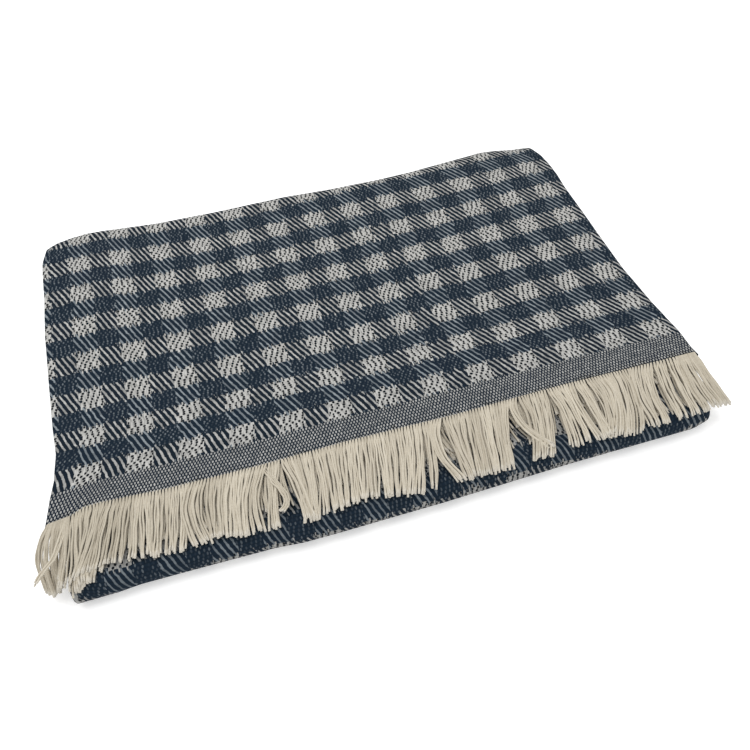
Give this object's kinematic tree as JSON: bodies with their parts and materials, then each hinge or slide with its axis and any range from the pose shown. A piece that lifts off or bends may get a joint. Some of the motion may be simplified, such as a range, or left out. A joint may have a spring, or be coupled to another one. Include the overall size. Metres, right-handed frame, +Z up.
{
  "type": "folded woven throw blanket",
  "caption": "Small-check woven throw folded in three lengthwise and then over and over to a flat pad, its fringed end lying on top.",
  "frame": {"origin": "middle of the pad's outline, on the surface it lies on", "axes": "+X to the right along the fringe, +Y to the back fold, away from the fringe, +Z up through the layers"},
  "size_m": [0.452, 0.336, 0.0272],
  "materials": {
    "woven_cloth": "matt block-twill weave of navy weft on cream warp, in a small two-colour check",
    "fringe_yarn": "matt loose cream yarn in soft locks"
  },
  "bodies": {
    "root": {"folded_cloth": "woven_cloth", "yarn_fringe": "fringe_yarn"}
  },
  "joints": []
}
